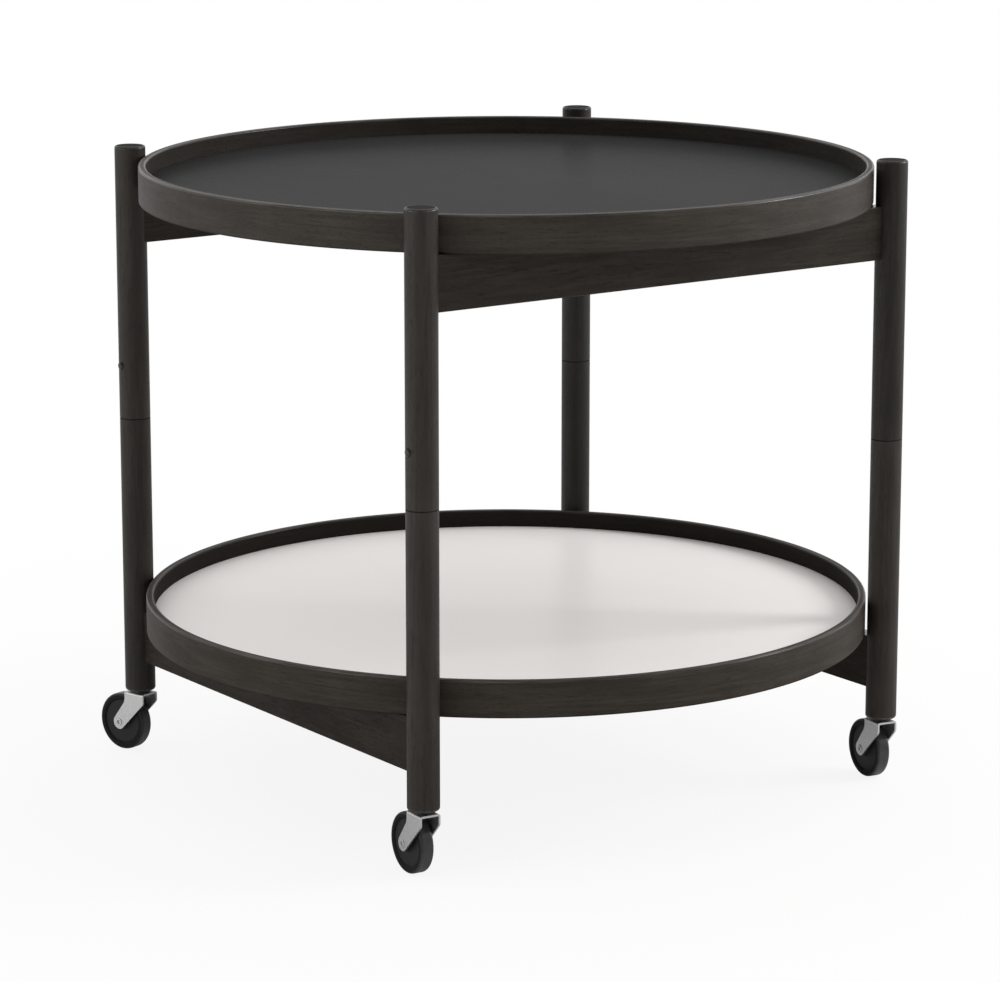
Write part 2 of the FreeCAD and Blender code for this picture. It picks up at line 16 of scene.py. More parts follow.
import bmesh
import bpy
import numpy as np
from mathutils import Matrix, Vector


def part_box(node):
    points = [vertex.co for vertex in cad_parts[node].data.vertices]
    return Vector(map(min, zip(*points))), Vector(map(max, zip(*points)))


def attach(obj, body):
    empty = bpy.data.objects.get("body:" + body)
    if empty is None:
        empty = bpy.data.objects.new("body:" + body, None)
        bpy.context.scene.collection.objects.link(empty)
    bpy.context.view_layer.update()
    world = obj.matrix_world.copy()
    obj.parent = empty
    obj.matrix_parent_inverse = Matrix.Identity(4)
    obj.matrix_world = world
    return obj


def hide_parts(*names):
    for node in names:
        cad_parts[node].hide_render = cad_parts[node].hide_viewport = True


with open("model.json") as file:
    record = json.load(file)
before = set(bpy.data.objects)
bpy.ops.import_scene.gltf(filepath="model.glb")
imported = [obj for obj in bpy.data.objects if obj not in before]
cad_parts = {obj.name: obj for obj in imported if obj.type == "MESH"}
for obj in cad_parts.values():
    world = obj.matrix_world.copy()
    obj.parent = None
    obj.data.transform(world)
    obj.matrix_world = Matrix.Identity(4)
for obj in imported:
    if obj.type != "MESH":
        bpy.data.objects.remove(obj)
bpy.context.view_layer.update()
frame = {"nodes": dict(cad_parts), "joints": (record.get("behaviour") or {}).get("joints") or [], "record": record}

MM = 0.001
WHITE = (1.0, 1.0, 1.0, 1.0)
X, Y, Z = range(3)

Array = np.ndarray
Material = bpy.types.Material
Colour = tuple[float, float, float]
Range = tuple[float, float]

log = logging.getLogger("tray_table")


class Leg(Enum):
    """The four legs, by where they stand for someone in front of the table."""

    FRONT = "front"
    RIGHT = "right"
    BACK = "back"
    LEFT = "left"


class Level(Enum):
    """Trays, rails and halves of a leg, by their place in the frame."""

    UPPER = "upper"
    LOWER = "lower"


class Grain(Enum):
    """Ways that the wood's fibres run: a kind of texture coordinates and which of them is lengthwise."""

    UP_THE_LEG = ("Object", Z)
    ALONG_UPPER_RAIL = ("Object", X)
    ALONG_LOWER_RAIL = ("Object", Y)
    ROUND_THE_RIM = ("UV", X)


# Bodies and joints read from the frame


BODY_OF = {
    node: body
    for body, nodes in frame["record"]["behaviour"]["bodies"].items()
    for node in nodes
}
JOINTS = {joint["name"]: joint for joint in frame["joints"]}


@dataclass(frozen=True)
class Extent:
    """Box of a node at rest."""

    low: Array
    high: Array

    @classmethod
    def of(cls, node: str) -> "Extent":
        """Box of the named node."""
        low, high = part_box(node)
        return cls(np.array(low), np.array(high))

    @property
    def middle(self) -> Array:
        """Centre of the box."""
        return (self.low + self.high) / 2

    @property
    def span(self) -> Array:
        """Lengths of the box's sides."""
        return self.high - self.low


# Surfaces turned about an axis


@dataclass(frozen=True)
class Axis:
    """Line that a piece is turned about: a point on it, its direction and one direction square to it."""

    point: Array
    along: Array
    across: Array

    @classmethod
    def upright(cls, x: float, y: float, start: tuple[float, float] = (1.0, 0.0)) -> "Axis":
        """Axis that stands on the floor at a place, with turns counted from a direction in plan."""
        across = np.array([*start, 0.0])
        return cls(np.array([x, y, 0.0]), np.array([0.0, 0.0, 1.0]), across / np.linalg.norm(across))

    @classmethod
    def level(cls, point: Array, along: Array) -> "Axis":
        """Axis that lies level through a point."""
        return cls(point, along / np.linalg.norm(along), np.array([0.0, 0.0, 1.0]))

    def place(self, out: Array, along: Array, turn: Array) -> Array:
        """Points at distances from the axis, places along it and turns about it.

        Args:
            out: distances from the axis.
            along: places along the axis.
            turn: angles about the axis.

        Returns:
            point + out * (cos(turn) * across + sin(turn) * third) + along * direction, third being the
            direction square to both.
        """
        third = np.cross(self.along, self.across)
        ring = np.cos(turn)[..., None] * self.across + np.sin(turn)[..., None] * third
        return self.point + out[..., None] * ring + along[..., None] * self.along


@dataclass(frozen=True)
class Bend:
    """Corner of a turned outline: distance out, place along, the radius that rounds it and its wear."""

    out: float
    along: float
    radius: float = 0.0
    wear: float = 1.0


@dataclass(frozen=True)
class Outline:
    """Line that is turned about an axis: points as distance out and place along, and their wear."""

    points: Array
    worn: Array
    closed: bool

    ARC_STEPS = 8
    HOLD = 0.15 * MM

    @classmethod
    def through(cls, bends: Sequence[Bend], closed: bool = False) -> "Outline":
        """Outline through corners, each rounded by an arc.

        A corner of angle 2h and radius r becomes an arc about a centre r / sin(h) along the bisector, from
        r / tan(h) before the corner to r / tan(h) after it. A point is held just outside each end of the arc,
        which keeps the flat stretches flat under the light.

        Args:
            bends: the corners in order.
            closed: whether the last corner joins the first.

        Returns:
            The outline's points, with the corner's wear for each that lies on an arc.
        """
        corners = np.array([(bend.out, bend.along) for bend in bends])
        backward = np.roll(corners, 1, axis=0) - corners
        forward = np.roll(corners, -1, axis=0) - corners
        points, worn = [], []
        for corner, back, ahead, bend in zip(corners, backward, forward, bends):
            if bend.radius == 0.0:
                points.append(corner[None])
                worn.append(np.zeros(1))
                continue
            arc = cls._arc(corner, cls._unit(back), cls._unit(ahead), bend.radius)
            before = arc[0] + cls.HOLD * cls._unit(back)
            after = arc[-1] + cls.HOLD * cls._unit(ahead)
            points.append(np.vstack([before, arc, after]))
            worn.append(bend.wear * np.concatenate([[0.0], np.ones(len(arc)), [0.0]]))
        return cls(np.vstack(points), np.concatenate(worn), closed)

    @staticmethod
    def _unit(vector: Array) -> Array:
        """Vector of length 1 in the same direction."""
        return vector / np.linalg.norm(vector)

    @classmethod
    def _arc(cls, corner: Array, back: Array, ahead: Array, radius: float) -> Array:
        """Points of the arc that rounds a corner.

        Args:
            corner: the corner.
            back: direction towards the corner before.
            ahead: direction towards the corner after.
            radius: the arc's radius.

        Returns:
            Points from one side to the other, as the weighted sum of the two end radii whose weights are the
            sines of the two parts of the turn over the sine of the whole turn.
        """
        half = np.arccos(np.clip(back @ ahead, -1.0, 1.0)) / 2
        centre = corner + cls._unit(back + ahead) * radius / np.sin(half)
        start = corner + back * radius / np.tan(half) - centre
        stop = corner + ahead * radius / np.tan(half) - centre
        turn = pi - 2 * half
        share = np.linspace(0.0, 1.0, cls.ARC_STEPS + 1)[:, None]
        return centre + (np.sin((1 - share) * turn) * start + np.sin(share * turn) * stop) / np.sin(turn)

    def ends(self) -> Array:
        """Share of end grain along the outline.

        Returns:
            For each point, the larger share of outward run in its two steps: 1 on an end face, 0 on a side.
        """
        steps = np.diff(self.points, axis=0)
        share = np.abs(steps[:, 0]) / np.linalg.norm(steps, axis=1)
        return np.maximum(np.concatenate([share[:1], share]), np.concatenate([share, share[-1:]]))

    def lengths(self) -> Array:
        """Distances along the outline.

        Returns:
            The distance to each point, and back to the first one if the outline is closed.
        """
        points = np.vstack([self.points, self.points[:1]]) if self.closed else self.points
        steps = np.linalg.norm(np.diff(points, axis=0), axis=1)
        return np.concatenate([[0.0], np.cumsum(steps)])


@dataclass(frozen=True)
class TurnedSurface:
    """Surface swept by an outline that turns about an axis."""

    outline: Outline
    axis: Axis
    steps: int
    # Per point of the outline, share of the dark colour: stain sunk into end grain on a leg, painted shade on a
    # tray rim.
    soaked: Array | None = None

    SHARP = radians(32)
    WELD = 1e-7

    def mesh(self, name: str) -> bpy.types.Mesh:
        """Mesh of the surface.

        Row i and column j hold the outline's point i turned by 2 pi j / steps. The UV map has u, the turn
        times the largest radius, and v, the length along the outline, both in metres.

        Args:
            name: the mesh's name.

        Returns:
            A closed mesh with faces outwards, a UV map and two attributes: edge_wear, up to 1 on the rounded
            edges, and a second one that is up to 1 where stain has sunk deep into end grain and where shade
            is painted in.
        """
        out, along = self.outline.points.T
        turn = 2 * pi * np.arange(self.steps) / self.steps
        points = self.axis.place(*np.broadcast_arrays(out[:, None], along[:, None], turn[None, :]))
        rows = len(out) if self.outline.closed else len(out) - 1
        row, column = np.meshgrid(np.arange(rows), np.arange(self.steps), indexing="ij")
        rings = np.stack([row, row, row + 1, row + 1], axis=-1).reshape(-1, 4)
        turns = np.stack([column, column + 1, column + 1, column], axis=-1).reshape(-1, 4)
        faces = (rings % len(out)) * self.steps + turns % self.steps
        points = points.reshape(-1, 3)
        if self._volume(points, faces) < 0:
            faces, rings, turns = faces[:, ::-1], rings[:, ::-1], turns[:, ::-1]
        mesh = bpy.data.meshes.new(name)
        mesh.from_pydata(points.tolist(), [], faces.tolist())
        arc = turns * 2 * pi / self.steps * out.max()
        uv = np.stack([arc, self.outline.lengths()[rings]], axis=-1)
        mesh.uv_layers.new(name="along_and_across").data.foreach_set("uv", uv.ravel())
        soaked = np.zeros(len(out)) if self.soaked is None else self.soaked
        for attribute, values in (("edge_wear", self.outline.worn), ("soaked", soaked)):
            layer = mesh.attributes.new(attribute, "FLOAT", "POINT")
            layer.data.foreach_set("value", np.repeat(values, self.steps))
        self._close_poles(mesh)
        return mesh

    @staticmethod
    def _volume(points: Array, faces: Array) -> float:
        """Volume that the faces enclose: a sixth of the sum of their corners' triple products.

        Args:
            points: the corners.
            faces: numbers of each face's four corners.

        Returns:
            The volume, negative if the faces are inside out.
        """
        first, second, third, fourth = (points[faces[:, k]] for k in range(4))
        upper = np.einsum("ij,ij->i", first, np.cross(second, third))
        lower = np.einsum("ij,ij->i", first, np.cross(third, fourth))
        return float((upper + lower).sum() / 6)

    def _close_poles(self, mesh: bpy.types.Mesh) -> None:
        """Weld the rows that lie on the axis to one point each, and smooth all but the sharp edges.

        Args:
            mesh: the mesh to change.
        """
        work = bmesh.new()
        work.from_mesh(mesh)
        bmesh.ops.remove_doubles(work, verts=work.verts, dist=self.WELD)
        work.to_mesh(mesh)
        work.free()
        mesh.polygons.foreach_set("use_smooth", np.ones(len(mesh.polygons), bool))
        mesh.set_sharp_from_angle(angle=self.SHARP)


def put(name: str, data: bpy.types.ID) -> bpy.types.Object:
    """Put an object into the scene.

    Args:
        name: the object's name.
        data: its mesh, lamp or camera.

    Returns:
        The new object, at the origin.
    """
    thing = bpy.data.objects.new(name, data)
    bpy.context.scene.collection.objects.link(thing)
    return thing


def stand_for(node: str, mesh: bpy.types.Mesh, material: Material) -> None:
    """Make the piece that stands for a node: it rides on the node's body, and the node is hidden.

    Args:
        node: the node's name.
        mesh: the piece's surface, whose name becomes the piece's.
        material: the piece's finish.
    """
    piece = put(mesh.name, mesh)
    mesh.materials.append(material)
    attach(piece, BODY_OF[node])
    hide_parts(node)
    log.info("%s stands for %s, %d faces", piece.name, node, len(mesh.polygons))


def dress(nodes: Sequence[str], material: Material) -> None:
    """Give a finish to nodes that stay as they are in the frame.

    Args:
        nodes: the nodes' names.
        material: their finish.
    """
    for node in nodes:
        slots = frame["nodes"][node].material_slots
        slots[0].material = material
        log.info("%s dressed in %s", node, material.name)


# Shader graphs


class Wire:
    """Output of a shader node that takes part in sums: each operator adds a Math node."""

    def __init__(self, graph: "Graph", socket: bpy.types.NodeSocket | None) -> None:
        """Keep the socket, none on a node that ends a graph, and the graph that it belongs to."""
        self.graph = graph
        self.socket = socket

    def _math(self, operation: str, first: "Wire | float", second: "Wire | float") -> "Wire":
        """Math node on two values."""
        return self.graph.node("ShaderNodeMath", {"operation": operation}, {0: first, 1: second})

    def __add__(self, other: "Wire | float") -> "Wire":
        """Sum."""
        return self._math("ADD", self, other)

    def __radd__(self, other: float) -> "Wire":
        """Sum with a number first."""
        return self._math("ADD", other, self)

    def __sub__(self, other: "Wire | float") -> "Wire":
        """Difference."""
        return self._math("SUBTRACT", self, other)

    def __rsub__(self, other: float) -> "Wire":
        """Difference with a number first."""
        return self._math("SUBTRACT", other, self)

    def __mul__(self, other: "Wire | float") -> "Wire":
        """Product."""
        return self._math("MULTIPLY", self, other)

    def __rmul__(self, other: float) -> "Wire":
        """Product with a number first."""
        return self._math("MULTIPLY", other, self)


@dataclass(frozen=True)
class Mark:
    """One kind of mark in a finish: its width, its length if it is drawn out, its weight and its noise."""

    width: float
    length: float = 0.0
    weight: float = 1.0
    detail: float = 2.0
    distortion: float = 0.0


class Graph:
    """Node tree of one material or of the world."""

    MIX_FACTOR = 0
    MIX_COLOURS = (6, 7)
    MIX_RESULT = 2

    def __init__(self, tree: bpy.types.NodeTree) -> None:
        """Start from an empty tree."""
        tree.nodes.clear()
        self.tree = tree

    def node(
        self,
        kind: str,
        settings: Mapping[str, Any] | None = None,
        inputs: Mapping[str | int, Any] | None = None,
        output: str | int = 0,
    ) -> Wire:
        """Add a node.

        Args:
            kind: the node's type.
            settings: the node's own properties, set before its sockets.
            inputs: a value or a wire for each named or numbered input.
            output: the output that is wanted.

        Returns:
            The wanted output.
        """
        made = self.tree.nodes.new(kind)
        for name, setting in (settings or {}).items():
            setattr(made, name, setting)
        for name, given in (inputs or {}).items():
            if isinstance(given, Wire):
                self.tree.links.new(given.socket, made.inputs[name])
            else:
                made.inputs[name].default_value = given
        return Wire(self, made.outputs[output] if made.outputs else None)

    def mix(self, factor: Wire | float, first: Any, second: Any) -> Wire:
        """Mix two colours.

        Args:
            factor: share of the second one.
            first: a colour or a wire.
            second: a colour or a wire.

        Returns:
            The mixed colour.
        """
        first, second = (c if isinstance(c, Wire) else (*c, 1.0) for c in (first, second))
        inputs = {self.MIX_FACTOR: factor, self.MIX_COLOURS[0]: first, self.MIX_COLOURS[1]: second}
        return self.node("ShaderNodeMix", {"data_type": "RGBA"}, inputs, self.MIX_RESULT)

    def noise(self, place: Wire, mark: Mark, lengthwise: int = X) -> Wire:
        """Noise of one kind of mark.

        Args:
            place: texture coordinates.
            mark: the mark.
            lengthwise: number of the coordinate that the mark's length lies along.

        Returns:
            Noise whose bumps repeat at about the mark's length along that coordinate and its width across it.
        """
        scale = [1.0 / mark.width] * 3
        scale[lengthwise] = 1.0 / (mark.length or mark.width)
        stretched = self.node("ShaderNodeMapping", None, {"Vector": place, "Scale": scale})
        inputs = {"Vector": stretched, "Scale": 1.0, "Detail": mark.detail, "Distortion": mark.distortion}
        return self.node("ShaderNodeTexNoise", None, inputs)

    def ramp(self, value: Wire, low: float, high: float) -> Wire:
        """Value carried smoothly from 0 at low to 1 at high."""
        inputs = {"Value": value, "From Min": low, "From Max": high}
        return self.node("ShaderNodeMapRange", {"interpolation_type": "SMOOTHSTEP"}, inputs)

    def bump(self, height: Wire, depth: float) -> Wire:
        """Normal of a surface with relief of that depth."""
        return self.node("ShaderNodeBump", None, {"Height": height, "Distance": depth, "Strength": 1.0})

    def surface(self, **inputs: Any) -> None:
        """End the graph with a surface shader.

        Args:
            inputs: a value or a wire for each socket, with underscores for the spaces in its name.
        """
        named = {name.replace("_", " "): given for name, given in inputs.items()}
        shader = self.node("ShaderNodeBsdfPrincipled", None, named)
        self.node("ShaderNodeOutputMaterial", None, {"Surface": shader})

    def place(self, kind: str = "Object") -> Wire:
        """Texture coordinates of a kind."""
        return self.node("ShaderNodeTexCoord", None, None, kind)

    def attribute(self, name: str) -> Wire:
        """Value of a mesh attribute, 0 where a mesh has none."""
        return self.node("ShaderNodeAttribute", {"attribute_name": name}, None, "Fac")


def new_material(name: str) -> tuple[Material, Graph]:
    """Make a material.

    Args:
        name: its name.

    Returns:
        The material and its empty graph.
    """
    material = bpy.data.materials.new(name)
    material.use_nodes = True
    return material, Graph(material.node_tree)


# Finishes


@dataclass(frozen=True)
class Finish:
    """What every finish has: a name, and a material whose graph it paints."""

    name: str

    def paint(self, graph: Graph) -> None:
        """Fill the material's empty graph."""
        raise NotImplementedError

    def material(self) -> Material:
        """Make the material.

        Returns:
            A new material with the finish's name.
        """
        material, graph = new_material(self.name)
        self.paint(graph)
        return material


@dataclass(frozen=True)
class StainedWood(Finish):
    """Black-stained wood under thin oil: growth bands, streaks, fibres, blotches, dark flecks and open pores.

    A mark's width is across the grain and its length along it. The weighted marks make up the tone between
    deep and pale, and flecks and pores take away from it. Rubbed edges, and faces that a tray slides on, are
    paler and polished. End grain soaks up more stain, and the same dark colour is painted shade where a
    mesh marks shade, as on a tray rim's inner wall and bottom.
    """

    grain: Grain
    tone: float = 1.0
    shine: float = 0.22
    roughness: float = 0.40
    deep: Colour = (0.0166, 0.0132, 0.0102)
    pale: Colour = (0.0437, 0.0359, 0.0291)
    rubbed: Colour = (0.070, 0.061, 0.053)
    # Dark colour of stain sunk into end grain, also used as painted shade on a tray rim's inner wall and bottom.
    soaked: Colour = (0.0085, 0.0072, 0.0062)
    band: Mark = Mark(14 * MM, 210 * MM, weight=0.65, distortion=0.4)
    bands: float = 5.0
    band_crest: float = 0.5
    streak: Mark = Mark(2.6 * MM, 45 * MM, weight=0.6, detail=4.0, distortion=0.3)
    fibre: Mark = Mark(0.7 * MM, 22 * MM, weight=0.35, detail=3.0)
    blotch: Mark = Mark(55 * MM, weight=0.7)
    fleck: Mark = Mark(1.4 * MM, 17 * MM, weight=0.45, detail=1.0)
    fleck_range: Range = (0.62, 0.70)
    pore: Mark = Mark(0.35 * MM, 5 * MM, weight=0.25, detail=1.0)
    pore_range: Range = (0.60, 0.72)
    pore_depth: float = 0.12 * MM
    tone_range: Range = (0.40, 2.10)
    wear_blotch: float = 0.6
    wear_range: Range = (0.62, 1.0)
    rubbing: float = 0.6
    # Share of that dark colour, for sunk-in stain and for painted shade.
    soak_and_shade_weight: float = 0.85
    polish: float = 0.45
    polish_roughness: float = 0.22
    slid_on: float = 0.0
    slid_depth: float = 1.0 * MM
    fibre_relief: float = 0.4
    band_relief: float = 0.3
    fibre_roughness: float = 0.16
    pore_roughness: float = 0.12
    edge_smoothness: float = 0.12
    soak_and_shade_roughness: float = 0.45

    def _edge(self, graph: Graph, place: Wire) -> Wire:
        """How far the wood is rubbed: on its rounded edges, or on an upper face that a tray slides on.

        Args:
            graph: the material's graph.
            place: texture coordinates, whose Z is the height above the floor.

        Returns:
            The mesh's own wear, or if slid_on gives a face's height, 1 there and 0 from slid_depth below it.
        """
        if not self.slid_on:
            return graph.attribute("edge_wear")
        height = graph.node("ShaderNodeSeparateXYZ", None, {"Vector": place}, "Z")
        return graph.ramp(height, self.slid_on - self.slid_depth, self.slid_on)

    def paint(self, graph: Graph) -> None:
        """Fill the material's empty graph."""
        coordinates, lengthwise = self.grain.value
        place = graph.place(coordinates)
        rings, streaks, fibres, blotch, flecked, pitted = (
            graph.noise(place, mark, lengthwise)
            for mark in (self.band, self.streak, self.fibre, self.blotch, self.fleck, self.pore)
        )
        folded = {0: rings * self.bands, 1: self.band_crest}
        bands = graph.node("ShaderNodeMath", {"operation": "PINGPONG"}, folded)
        flecks = graph.ramp(flecked, *self.fleck_range)
        pores = graph.ramp(pitted, *self.pore_range)
        marks = self.band.weight * bands + self.streak.weight * streaks + self.fibre.weight * fibres
        marks = marks + self.blotch.weight * blotch - self.pore.weight * pores - self.fleck.weight * flecks
        tone = graph.ramp(marks, *self.tone_range)
        edge = self._edge(graph, place)
        wear = edge * graph.ramp(streaks + self.wear_blotch * blotch, *self.wear_range)
        deep, pale, rubbed = (tuple(self.tone * part for part in colour)
                              for colour in (self.deep, self.pale, self.rubbed))
        colour = graph.mix(self.rubbing * wear, graph.mix(tone, deep, pale), rubbed)
        # Darker colour where stain has sunk into end grain, and painted shade on a tray rim's inner wall and
        # bottom.
        soak_and_shade = graph.attribute("soaked")
        relief = self.fibre_relief * fibres + self.band_relief * bands - pores
        roughness = self.roughness + self.fibre_roughness * fibres + self.pore_roughness * pores
        graph.surface(
            Base_Color=graph.mix(self.soak_and_shade_weight * soak_and_shade, colour, self.soaked),
            Roughness=roughness - self.edge_smoothness * edge + self.soak_and_shade_roughness * soak_and_shade,
            Specular_IOR_Level=self.shine,
            Coat_Weight=self.polish * edge,
            Coat_Roughness=self.polish_roughness,
            Normal=graph.bump(relief, self.pore_depth),
        )


@dataclass(frozen=True)
class Laminate(Finish):
    """Hard satin sheet with a fine pebbled face and faint smears from wiping."""

    colour: Colour
    shift: Colour
    roughness: float
    shine: float = 0.35
    pebble: Mark = Mark(0.9 * MM)
    pebble_depth: float = 0.012 * MM
    pebble_roughness: float = 0.05
    smear: Mark = Mark(110 * MM, 264 * MM, weight=0.5, detail=4.0, distortion=0.8)
    smear_roughness: float = 0.08
    speckle_range: Range = (0.45, 1.05)

    def paint(self, graph: Graph) -> None:
        """Fill the material's empty graph."""
        place = graph.place()
        pebbles = graph.noise(place, self.pebble)
        smears = graph.noise(place, self.smear, Y)
        speckle = graph.ramp(pebbles + self.smear.weight * smears, *self.speckle_range)
        graph.surface(
            Base_Color=graph.mix(speckle, self.colour, self.shift),
            Roughness=self.roughness + self.smear_roughness * smears + self.pebble_roughness * pebbles,
            Specular_IOR_Level=self.shine,
            Normal=graph.bump(pebbles, self.pebble_depth),
        )


@dataclass(frozen=True)
class PlatedSteel(Finish):
    """Metal with a thin satin plating: faint crystal patches and fine rolling lines."""

    colour: Colour
    dull: Colour
    roughness: float
    metal: float = 1.0
    patch: Mark = Mark(1.6 * MM, detail=3.0, distortion=0.5)
    patch_relief: float = 0.5
    patch_roughness: float = 0.12
    line: Mark = Mark(0.12 * MM, 9 * MM, weight=0.4)
    line_depth: float = 0.008 * MM
    line_roughness: float = 0.06
    dull_range: Range = (0.42, 1.0)

    def paint(self, graph: Graph) -> None:
        """Fill the material's empty graph."""
        place = graph.place()
        patches = graph.noise(place, self.patch)
        lines = graph.noise(place, self.line, Z)
        dulled = graph.ramp(patches + self.line.weight * lines, *self.dull_range)
        graph.surface(
            Base_Color=graph.mix(dulled, self.colour, self.dull),
            Metallic=self.metal,
            Roughness=self.roughness + self.patch_roughness * patches + self.line_roughness * lines,
            Normal=graph.bump(lines + self.patch_relief * patches, self.line_depth),
        )


@dataclass(frozen=True)
class Moulding(Finish):
    """Moulded plastic or hard rubber: fine spark-eroded grain, faint flow marks, scuffs and polish."""

    colour: Colour
    scuffed: Colour
    roughness: float
    shine: float = 0.4
    polish: float = 0.0
    polish_roughness: float = 0.38
    pit: Mark = Mark(0.45 * MM, weight=0.25)
    pit_depth: float = 0.02 * MM
    pit_roughness: float = 0.10
    flow: Mark = Mark(9 * MM, detail=3.0, distortion=0.6)
    flow_roughness: float = 0.08
    wear_weight: float = 0.45
    scuff_range: Range = (0.75, 1.25)

    def paint(self, graph: Graph) -> None:
        """Fill the material's empty graph."""
        place = graph.place()
        pits = graph.noise(place, self.pit)
        flow = graph.noise(place, self.flow)
        wear = graph.attribute("edge_wear")
        scuffs = graph.ramp(self.wear_weight * wear + flow + self.pit.weight * pits, *self.scuff_range)
        graph.surface(
            Base_Color=graph.mix(scuffs, self.colour, self.scuffed),
            Roughness=self.roughness + self.pit_roughness * pits + self.flow_roughness * flow,
            Specular_IOR_Level=self.shine,
            Coat_Weight=self.polish * wear if self.polish else 0.0,
            Coat_Roughness=self.polish_roughness,
            Normal=graph.bump(pits, self.pit_depth),
        )


@dataclass(frozen=True)
class Fibreboard(Finish):
    """Pressed board: pale and dark fibres without direction."""

    colour: Colour
    fibre: Colour
    roughness: float = 0.75
    fleck: Mark = Mark(1.3 * MM, detail=5.0, distortion=1.2)
    fleck_depth: float = 0.05 * MM
    fleck_roughness: float = 0.15
    fleck_range: Range = (0.35, 0.68)

    def paint(self, graph: Graph) -> None:
        """Fill the material's empty graph."""
        flecks = graph.noise(graph.place(), self.fleck)
        graph.surface(
            Base_Color=graph.mix(graph.ramp(flecks, *self.fleck_range), self.colour, self.fibre),
            Roughness=self.roughness + self.fleck_roughness * flecks,
            Normal=graph.bump(flecks, self.fleck_depth),
        )


# Sub-assemblies


@dataclass(frozen=True)
class TurnedLeg:
    """One leg: two turned halves that meet at a bevelled seam, the pivot inside and the cross pin's head."""

    leg: Leg
    # Tones of the two halves: each length of wood's own tone, for some halves partly painted shade.
    upper_tone_and_shade: float
    lower_tone_and_shade: float
    top_radius: float = 1.8 * MM
    foot_radius: float = 2.2 * MM
    seam_bevel: float = 0.5 * MM
    seam_room: float = 0.02 * MM
    bevel_radius: float = 0.12 * MM
    bore_wall: float = 0.05 * MM
    bore_room: float = 0.5 * MM
    pin_dome: float = 1.7 * MM
    dome_rings: int = 12
    leg_steps: int = 72
    pin_steps: int = 40

    def build(self, pin_steel: Material, pivot_steel: Material) -> None:
        """Make the leg's pieces and dress them.

        Args:
            pin_steel: finish of the cross pin.
            pivot_steel: finish of the pivot.
        """
        self._half(Level.UPPER, self._upper_bends(), self.upper_tone_and_shade)
        self._half(Level.LOWER, self._lower_bends(), self.lower_tone_and_shade)
        self._pin(pin_steel)
        dress([f"pivot_pin_{self.leg.value}"], pivot_steel)

    def _half(self, level: Level, bends: Sequence[Bend], tone: float) -> None:
        """Make one half of the leg, turned about the leg's axis from its own length of wood.

        Args:
            level: which half it is.
            bends: its outline.
            tone: its wood's tone, for some halves partly painted shade.
        """
        node = f"leg_{level.value}_{self.leg.value}"
        wood = StainedWood(f"{node}_wood", Grain.UP_THE_LEG, tone).material()
        x, y, _ = Extent.of(node).middle
        outline = Outline.through(bends)
        surface = TurnedSurface(outline, Axis.upright(x, y), self.leg_steps, outline.ends())
        stand_for(node, surface.mesh(f"{node}_turned"), wood)

    def _upper_bends(self) -> list[Bend]:
        """Outline of the upper half.

        Returns:
            Corners from its top down, in round the seam and up its bore.
        """
        half = Extent.of(f"leg_upper_{self.leg.value}")
        pin = Extent.of(f"pivot_pin_{self.leg.value}")
        radius = half.span[X] / 2
        bore = pin.span[X] / 2 + self.bore_wall
        bottom, top = half.low[Z] + self.seam_room, half.high[Z]
        return [
            Bend(0.0, top),
            Bend(radius, top, self.top_radius),
            Bend(radius, bottom + self.seam_bevel, self.bevel_radius, 0.0),
            Bend(radius - self.seam_bevel, bottom, self.bevel_radius, 0.0),
            Bend(bore, bottom),
            Bend(bore, pin.high[Z] + self.bore_room),
            Bend(0.0, pin.high[Z] + self.bore_room),
        ]

    def _lower_bends(self) -> list[Bend]:
        """Outline of the lower half.

        Returns:
            Corners from the pivot's bore up and out round the seam, then down and into the caster's bore.
        """
        half = Extent.of(f"leg_lower_{self.leg.value}")
        pin = Extent.of(f"pivot_pin_{self.leg.value}")
        sleeve = Extent.of(f"caster_socket_{self.leg.value}")
        radius = half.span[X] / 2
        bore = pin.span[X] / 2 + self.bore_wall
        sleeve_bore = sleeve.span[X] / 2 + self.bore_wall
        bottom, top = half.low[Z], half.high[Z]
        return [
            Bend(0.0, pin.low[Z]),
            Bend(bore, pin.low[Z]),
            Bend(bore, top),
            Bend(radius - self.seam_bevel, top, self.bevel_radius, 0.0),
            Bend(radius, top - self.seam_bevel, self.bevel_radius, 0.0),
            Bend(radius, bottom, self.foot_radius),
            Bend(sleeve_bore, bottom),
            Bend(sleeve_bore, sleeve.high[Z]),
            Bend(0.0, sleeve.high[Z]),
        ]

    def _pin(self, steel: Material) -> None:
        """Make the cross pin, whose outer end is half an ellipse turned round.

        At an angle t up the dome, the distance out is the radius times cos(t) and the rise the dome's height
        times sin(t).

        Args:
            steel: its finish.
        """
        node = f"retaining_pin_{self.leg.value}"
        pin = Extent.of(node)
        leg_x = Extent.of(f"leg_upper_{self.leg.value}").middle[X]
        side = np.sign(pin.middle[X] - leg_x)
        axis = Axis.level(np.array([leg_x, *pin.middle[1:]]), np.array([side, 0.0, 0.0]))
        ends = np.sort(np.abs([pin.low[X] - leg_x, pin.high[X] - leg_x]))
        radius = pin.span[Z] / 2
        foot = ends[1] - self.pin_dome
        dome = [Bend(radius * cos(angle), foot + self.pin_dome * sin(angle))
                for angle in np.linspace(0.0, pi / 2, self.dome_rings)[:-1]]
        bends = [Bend(0.0, ends[0]), Bend(radius, ends[0]), *dome, Bend(0.0, ends[1])]
        surface = TurnedSurface(Outline.through(bends), axis, self.pin_steps)
        stand_for(node, surface.mesh(f"{node}_domed"), steel)


